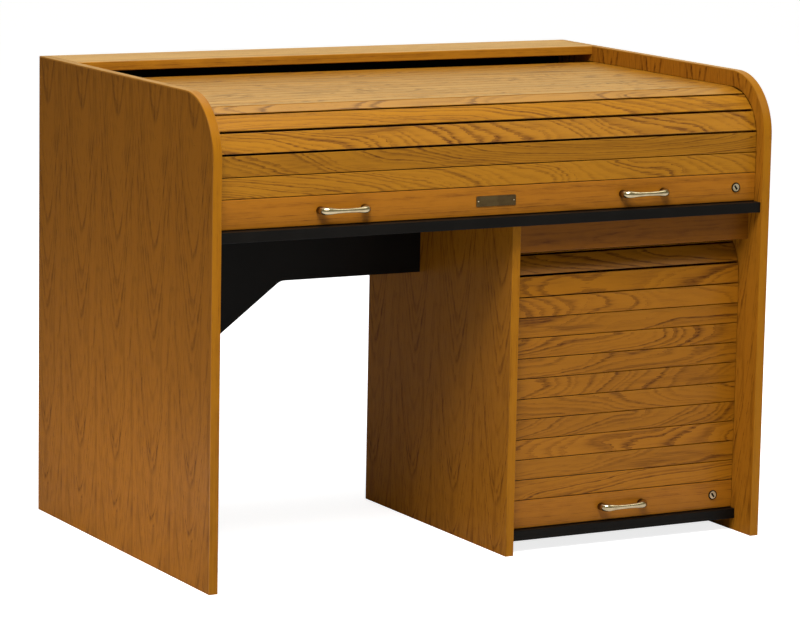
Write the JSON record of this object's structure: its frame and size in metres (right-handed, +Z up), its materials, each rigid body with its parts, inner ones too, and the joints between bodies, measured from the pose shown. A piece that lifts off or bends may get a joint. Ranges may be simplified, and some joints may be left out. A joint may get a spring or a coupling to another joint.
{
  "type": "roll-top desk",
  "caption": "Oak roll-top desk with a slatted roll-up front, a black work surface, an open kneehole and a pedestal with a roll-up door.",
  "frame": {"origin": "on the floor, midway across the desk and midway between its front and rear edges", "axes": "+X to the right along the front, +Y from the front to the back, +Z up"},
  "size_m": [1.34, 0.88, 1.016],
  "materials": {
    "oak_veneer": "satin lacquer, grain upright",
    "oak_solid": "satin lacquer",
    "oak_slat": "satin lacquer, grain along the slat",
    "black_board": "satin black",
    "satin_nickel": "satin nickel",
    "zinc_steel": "zinc plated",
    "dark_bronze": "dark bronze, worn at the edges",
    "lock_brass": "pale brass, satin",
    "beech": "raw"
  },
  "bodies": {
    "case": {"left_end_panel": "oak_veneer", "left_edge_band": "oak_solid", "right_end_panel": "oak_veneer", "right_edge_band": "oak_solid", "pedestal_side": "oak_veneer", "pedestal_edge_band": "oak_solid", "work_surface": "black_board", "top_cap": "oak_solid", "modesty_panel": "black_board", "pedestal_rail": "oak_solid", "pedestal_base": "black_board", "edge_strips": "black_board", "back_panel": "black_board", "inner_back": "black_board", "pedestal_back": "black_board", "strike_plates": "zinc_steel", "board_dowels": "beech"},
    "roll_front": {"roll_lead_rail": "oak_solid", "roll_slat_01": "oak_slat", "roll_pulls": "satin_nickel", "roll_pull_screws": "zinc_steel", "roll_name_plate": "dark_bronze", "roll_lock_barrel": "lock_brass"},
    "roll_lock": {"roll_lock_plug": "lock_brass", "roll_lock_cam": "zinc_steel"},
    "door_front": {"door_lead_rail": "oak_solid", "door_slat_01": "oak_slat", "door_pulls": "satin_nickel", "door_pull_screws": "zinc_steel", "door_lock_barrel": "lock_brass"},
    "door_lock": {"door_lock_plug": "lock_brass", "door_lock_cam": "zinc_steel"},
    "roll_slat_02": {"roll_slat_02": "oak_slat"},
    "roll_slat_03": {"roll_slat_03": "oak_slat"},
    "roll_slat_04": {"roll_slat_04": "oak_slat"},
    "roll_slat_05": {"roll_slat_05": "oak_slat"},
    "roll_top": {"roll_top_slats": "oak_slat"},
    "roll_slat_09": {"roll_slat_09": "oak_slat"},
    "roll_slat_10": {"roll_slat_10": "oak_slat"},
    "roll_slat_11": {"roll_slat_11": "oak_slat"},
    "roll_slat_12": {"roll_slat_12": "oak_slat"},
    "roll_tail": {"roll_tail_slats": "oak_slat"},
    "roll_slat_19": {"roll_slat_19": "oak_slat"},
    "door_slat_02": {"door_slat_02": "oak_slat"},
    "door_slat_03": {"door_slat_03": "oak_slat"},
    "door_slat_04": {"door_slat_04": "oak_slat"},
    "door_slat_05": {"door_slat_05": "oak_slat"},
    "door_middle": {"door_middle_slats": "oak_slat"},
    "door_slat_11": {"door_slat_11": "oak_slat"},
    "door_slat_12": {"door_slat_12": "oak_slat"},
    "door_slat_13": {"door_slat_13": "oak_slat"}
  },
  "joints": [
    {"name": "roll_open", "type": "hinge", "parent": "case", "child": "roll_front", "pos_m": [0, -0.1658, 0.7358], "axis": [-1, 0, 0], "range_deg": [0, 90]},
    {"name": "roll_lock_turn", "type": "hinge", "parent": "roll_front", "child": "roll_lock", "pos_m": [0.6, -0.41, 0.772], "axis": [0, -1, 0], "range_deg": [0, 90]},
    {"name": "roll_slat_02_follow", "type": "hinge", "parent": "case", "child": "roll_slat_02", "pos_m": [0, -0.16485, 0.73316], "axis": [-1, 0, 0], "range_deg": [0, 89.13]},
    {"name": "roll_slat_03_follow", "type": "hinge", "parent": "case", "child": "roll_slat_03", "pos_m": [0, -0.14734, 0.64784], "axis": [-1, 0, 0], "range_deg": [0, 69.07]},
    {"name": "roll_slat_04_follow", "type": "hinge", "parent": "case", "child": "roll_slat_04", "pos_m": [0, -0.1237, 0.39386], "axis": [-1, 0, 0], "range_deg": [0, 41.09]},
    {"name": "roll_slat_05_follow", "type": "hinge", "parent": "case", "child": "roll_slat_05", "pos_m": [0, -0.0936, -0.89818], "axis": [-1, 0, 0], "range_deg": [0, 13.12]},
    {"name": "roll_top_follow", "type": "slide", "parent": "case", "child": "roll_top", "axis": [0, 1, 0], "range_m": [0, 0.43001]},
    {"name": "roll_slat_09_follow", "type": "hinge", "parent": "case", "child": "roll_slat_09", "pos_m": [0, 0.0384, -5.83485], "axis": [-1, 0, 0], "range_deg": [0, 3.62]},
    {"name": "roll_slat_10_follow", "type": "hinge", "parent": "case", "child": "roll_slat_10", "pos_m": [0, 0.07682, 0.11326], "axis": [-1, 0, 0], "range_deg": [0, 28.18]},
    {"name": "roll_slat_11_follow", "type": "hinge", "parent": "case", "child": "roll_slat_11", "pos_m": [0, 0.10167, 0.56122], "axis": [-1, 0, 0], "range_deg": [0, 56.16]},
    {"name": "roll_slat_12_follow", "type": "hinge", "parent": "case", "child": "roll_slat_12", "pos_m": [0, 0.12399, 0.71172], "axis": [-1, 0, 0], "range_deg": [0, 82.94]},
    {"name": "roll_tail_follow", "type": "hinge", "parent": "case", "child": "roll_tail", "pos_m": [0, 0.13081, 0.73581], "axis": [-1, 0, 0], "range_deg": [0, 90]},
    {"name": "roll_slat_19_follow", "type": "hinge", "parent": "case", "child": "roll_slat_19", "pos_m": [0, 0.10466, 0.72852], "axis": [-1, 0, 0], "range_deg": [0, 82.41]},
    {"name": "door_open", "type": "slide", "parent": "case", "child": "door_front", "axis": [0, 0, 1], "range_m": [0, 0.396]},
    {"name": "door_lock_turn", "type": "hinge", "parent": "door_front", "child": "door_lock", "pos_m": [0.6, -0.36, 0.081], "axis": [0, -1, 0], "range_deg": [0, 90]},
    {"name": "door_slat_02_follow", "type": "hinge", "parent": "case", "child": "door_slat_02", "pos_m": [0, 4.09788, 0.354], "axis": [-1, 0, 0], "range_deg": [0, 5.1]},
    {"name": "door_slat_03_follow", "type": "hinge", "parent": "case", "child": "door_slat_03", "pos_m": [0, 0.42816, 0.39024], "axis": [-1, 0, 0], "range_deg": [0, 28.57]},
    {"name": "door_slat_04_follow", "type": "hinge", "parent": "case", "child": "door_slat_04", "pos_m": [0, 0.04684, 0.41461], "axis": [-1, 0, 0], "range_deg": [0, 53.74]},
    {"name": "door_slat_05_follow", "type": "hinge", "parent": "case", "child": "door_slat_05", "pos_m": [0, -0.09426, 0.4375], "axis": [-1, 0, 0], "range_deg": [0, 78.85]},
    {"name": "door_middle_follow", "type": "hinge", "parent": "case", "child": "door_middle", "pos_m": [0, -0.1307, 0.4487], "axis": [-1, 0, 0], "range_deg": [0, 90]},
    {"name": "door_slat_11_follow", "type": "hinge", "parent": "case", "child": "door_slat_11", "pos_m": [0, -0.12525, 0.43363], "axis": [-1, 0, 0], "range_deg": [0, 84.9]},
    {"name": "door_slat_12_follow", "type": "hinge", "parent": "case", "child": "door_slat_12", "pos_m": [0, -0.10366, 0.32631], "axis": [-1, 0, 0], "range_deg": [0, 61.43]},
    {"name": "door_slat_13_follow", "type": "hinge", "parent": "case", "child": "door_slat_13", "pos_m": [0, -0.08, 0.06138], "axis": [-1, 0, 0], "range_deg": [0, 36.27]}
  ],
  "couplings": [
    {"joint": "roll_slat_02_follow", "follows": "roll_open", "ratio": 0.99035},
    {"joint": "roll_slat_03_follow", "follows": "roll_open", "ratio": 0.76744},
    {"joint": "roll_slat_04_follow", "follows": "roll_open", "ratio": 0.45655},
    {"joint": "roll_slat_05_follow", "follows": "roll_open", "ratio": 0.14581},
    {"joint": "roll_top_follow", "follows": "roll_open", "m_per_rad": 0.27375},
    {"joint": "roll_slat_09_follow", "follows": "roll_open", "ratio": 0.040209},
    {"joint": "roll_slat_10_follow", "follows": "roll_open", "ratio": 0.31313},
    {"joint": "roll_slat_11_follow", "follows": "roll_open", "ratio": 0.62403},
    {"joint": "roll_slat_12_follow", "follows": "roll_open", "ratio": 0.9216},
    {"joint": "roll_tail_follow", "follows": "roll_open", "ratio": 1},
    {"joint": "roll_slat_19_follow", "follows": "roll_open", "ratio": 0.9156},
    {"joint": "door_slat_02_follow", "follows": "door_open", "rad_per_m": 0.22463},
    {"joint": "door_slat_03_follow", "follows": "door_open", "rad_per_m": 1.2593},
    {"joint": "door_slat_04_follow", "follows": "door_open", "rad_per_m": 2.3683},
    {"joint": "door_slat_05_follow", "follows": "door_open", "rad_per_m": 3.4754},
    {"joint": "door_middle_follow", "follows": "door_open", "rad_per_m": 3.9667},
    {"joint": "door_slat_11_follow", "follows": "door_open", "rad_per_m": 3.742},
    {"joint": "door_slat_12_follow", "follows": "door_open", "rad_per_m": 2.7073},
    {"joint": "door_slat_13_follow", "follows": "door_open", "rad_per_m": 1.5983}
  ]
}
